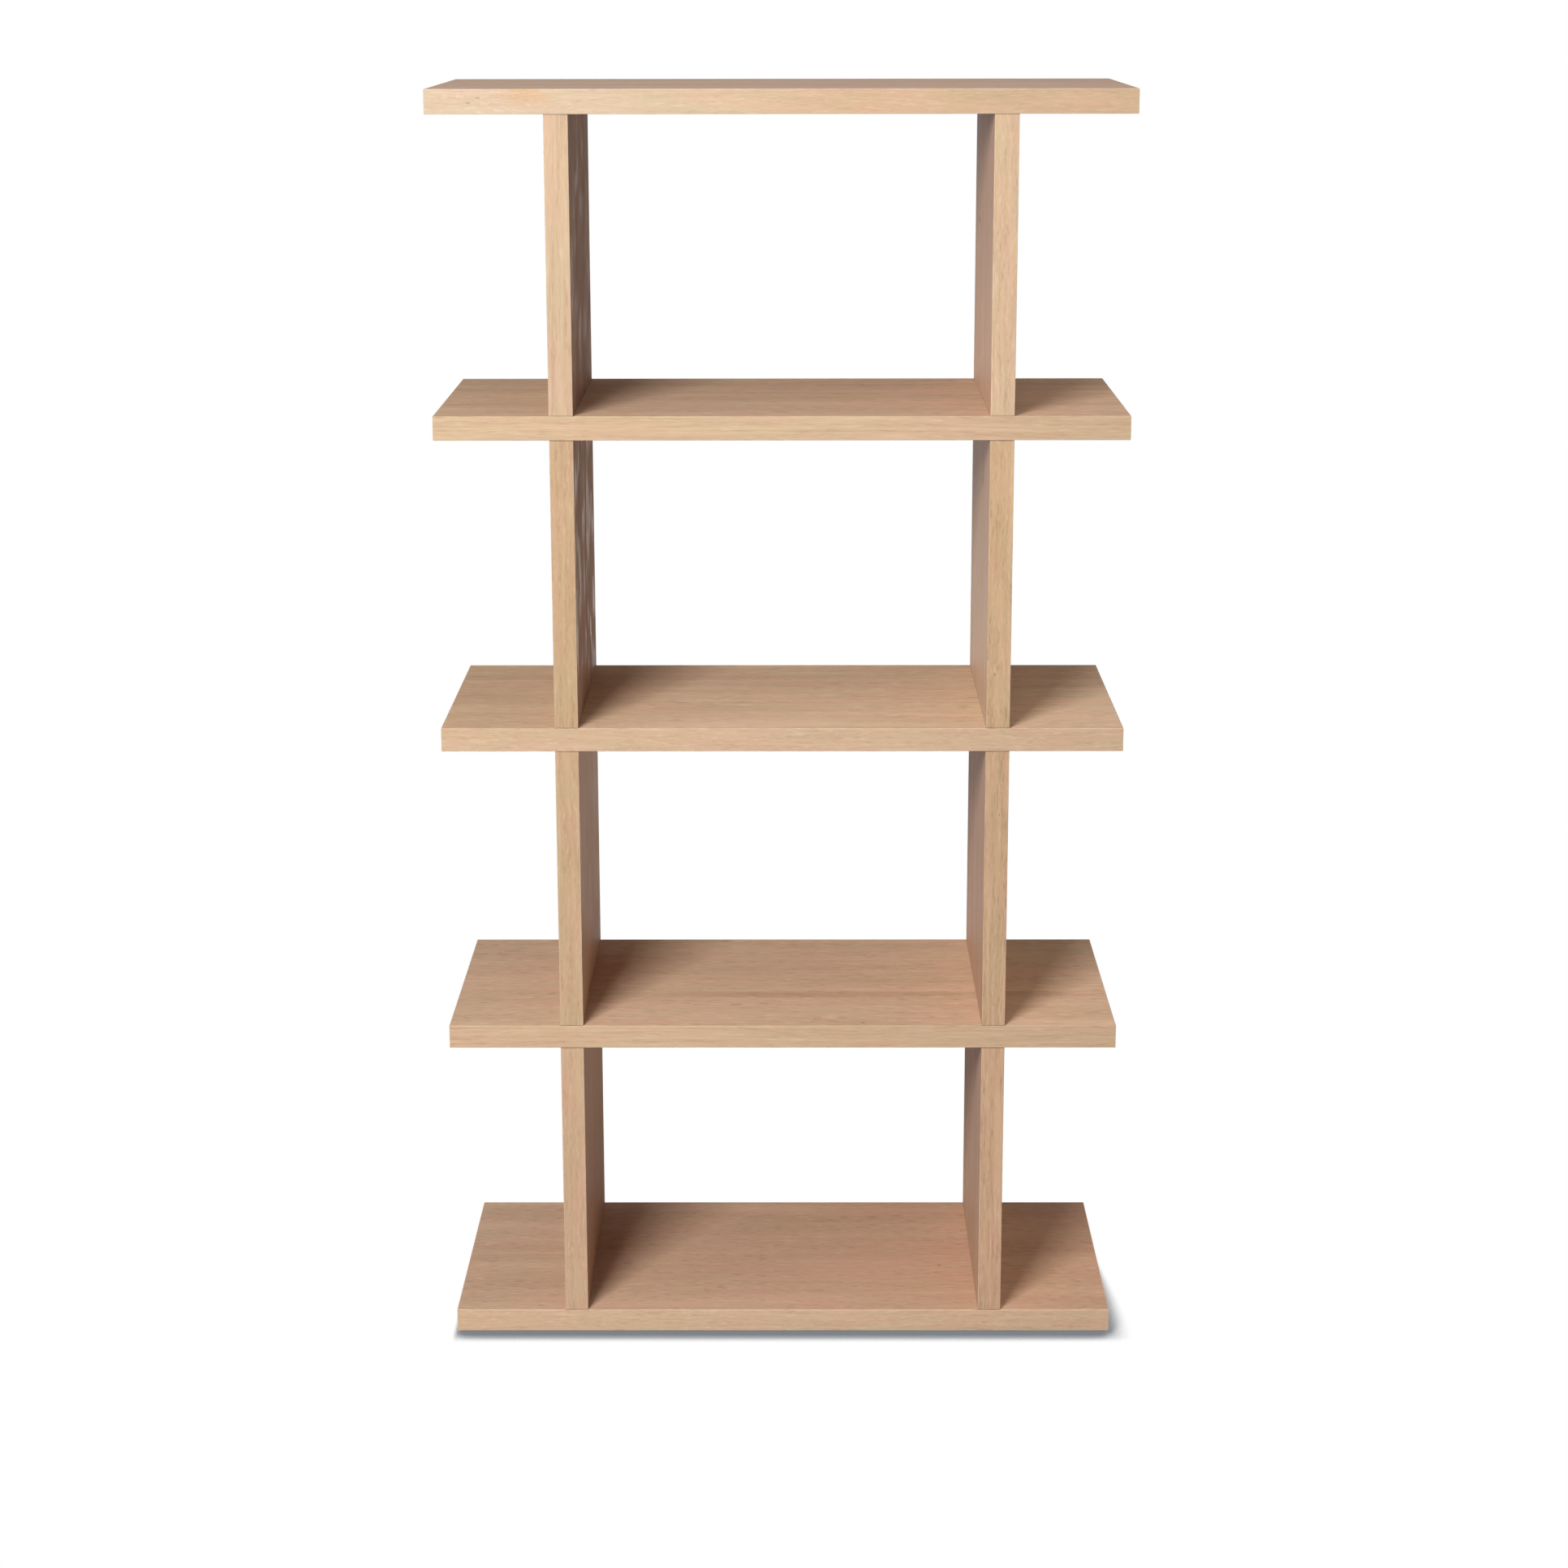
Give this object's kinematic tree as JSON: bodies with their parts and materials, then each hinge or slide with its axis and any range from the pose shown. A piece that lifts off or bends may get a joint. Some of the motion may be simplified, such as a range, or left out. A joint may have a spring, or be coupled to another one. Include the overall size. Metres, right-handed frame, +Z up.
{
  "type": "open bookcase",
  "caption": "Tall open bookcase of long oak-veneered shelves carried on pairs of short inset uprights, open at the front, back and ends, on levelling feet.",
  "frame": {"origin": "on the floor, at the centre of the footprint", "axes": "+X right along the shelves as seen from the front, +Y from the front to the back, +Z up"},
  "size_m": [0.9, 0.4, 1.688],
  "materials": {
    "shelf_oak_veneer": "matt lacquer",
    "upright_oak_veneer": "matt lacquer",
    "shelf_oak_edging": "matt lacquer",
    "upright_oak_edging": "matt lacquer",
    "board_core": "raw board",
    "beech": "raw",
    "zinc": "die cast zinc",
    "steel": "zinc plated",
    "brass": "turned",
    "cover_plastic": "oak coloured",
    "foot_plastic": "moulded"
  },
  "bodies": {
    "frame": {"base_shelf_core": "board_core", "base_shelf_edging": "shelf_oak_edging", "base_shelf_veneers": "shelf_oak_veneer", "bolt_inserts": "brass", "bracket_screws": "steel", "cam_covers": "cover_plastic", "cam_locks": "zinc", "end_bolts": "steel", "foot_inserts": "brass", "left_upright_1_core": "board_core", "left_upright_1_edging": "upright_oak_edging", "left_upright_1_veneers": "upright_oak_veneer", "left_upright_2_core": "board_core", "left_upright_2_edging": "upright_oak_edging", "left_upright_2_veneers": "upright_oak_veneer", "left_upright_3_core": "board_core", "left_upright_3_edging": "upright_oak_edging", "left_upright_3_veneers": "upright_oak_veneer", "left_upright_4_core": "board_core", "left_upright_4_edging": "upright_oak_edging", "left_upright_4_veneers": "upright_oak_veneer", "lower_shelf_core": "board_core", "lower_shelf_edging": "shelf_oak_edging", "lower_shelf_veneers": "shelf_oak_veneer", "middle_shelf_core": "board_core", "middle_shelf_edging": "shelf_oak_edging", "middle_shelf_veneers": "shelf_oak_veneer", "right_upright_1_core": "board_core", "right_upright_1_edging": "upright_oak_edging", "right_upright_1_veneers": "upright_oak_veneer", "right_upright_2_core": "board_core", "right_upright_2_edging": "upright_oak_edging", "right_upright_2_veneers": "upright_oak_veneer", "right_upright_3_core": "board_core", "right_upright_3_edging": "upright_oak_edging", "right_upright_3_veneers": "upright_oak_veneer", "right_upright_4_core": "board_core", "right_upright_4_edging": "upright_oak_edging", "right_upright_4_veneers": "upright_oak_veneer", "through_bolts": "steel", "top_shelf_core": "board_core", "top_shelf_edging": "shelf_oak_edging", "top_shelf_veneers": "shelf_oak_veneer", "upper_shelf_core": "board_core", "upper_shelf_edging": "shelf_oak_edging", "upper_shelf_veneers": "shelf_oak_veneer", "wall_brackets": "steel", "wooden_dowels": "beech"},
    "pad_front_left": {"foot_pad_front_left": "foot_plastic"},
    "stud_front_left": {"foot_stud_front_left": "steel"},
    "pad_back_left": {"foot_pad_back_left": "foot_plastic"},
    "stud_back_left": {"foot_stud_back_left": "steel"},
    "pad_front_right": {"foot_pad_front_right": "foot_plastic"},
    "stud_front_right": {"foot_stud_front_right": "steel"},
    "pad_back_right": {"foot_pad_back_right": "foot_plastic"},
    "stud_back_right": {"foot_stud_back_right": "steel"}
  },
  "joints": [
    {"name": "foot_rise_front_left", "type": "slide", "parent": "frame", "child": "pad_front_left", "axis": [0, 0, -1], "range_m": [0, 0.0121]},
    {"name": "foot_turn_front_left", "type": "hinge", "parent": "pad_front_left", "child": "stud_front_left", "pos_m": [-0.405, -0.155, 0.006], "axis": [0, 0, -1], "range_deg": [0, 3456]},
    {"name": "foot_rise_back_left", "type": "slide", "parent": "frame", "child": "pad_back_left", "axis": [0, 0, -1], "range_m": [0, 0.0121]},
    {"name": "foot_turn_back_left", "type": "hinge", "parent": "pad_back_left", "child": "stud_back_left", "pos_m": [-0.405, 0.155, 0.006], "axis": [0, 0, -1], "range_deg": [0, 3456]},
    {"name": "foot_rise_front_right", "type": "slide", "parent": "frame", "child": "pad_front_right", "axis": [0, 0, -1], "range_m": [0, 0.0121]},
    {"name": "foot_turn_front_right", "type": "hinge", "parent": "pad_front_right", "child": "stud_front_right", "pos_m": [0.405, -0.155, 0.006], "axis": [0, 0, -1], "range_deg": [0, 3456]},
    {"name": "foot_rise_back_right", "type": "slide", "parent": "frame", "child": "pad_back_right", "axis": [0, 0, -1], "range_m": [0, 0.0121]},
    {"name": "foot_turn_back_right", "type": "hinge", "parent": "pad_back_right", "child": "stud_back_right", "pos_m": [0.405, 0.155, 0.006], "axis": [0, 0, -1], "range_deg": [0, 3456]}
  ],
  "couplings": [
    {"joint": "foot_rise_front_left", "follows": "foot_turn_front_left", "m_per_rad": 0.00019894},
    {"joint": "foot_rise_back_left", "follows": "foot_turn_back_left", "m_per_rad": 0.00019894},
    {"joint": "foot_rise_front_right", "follows": "foot_turn_front_right", "m_per_rad": 0.00019894},
    {"joint": "foot_rise_back_right", "follows": "foot_turn_back_right", "m_per_rad": 0.00019894}
  ]
}
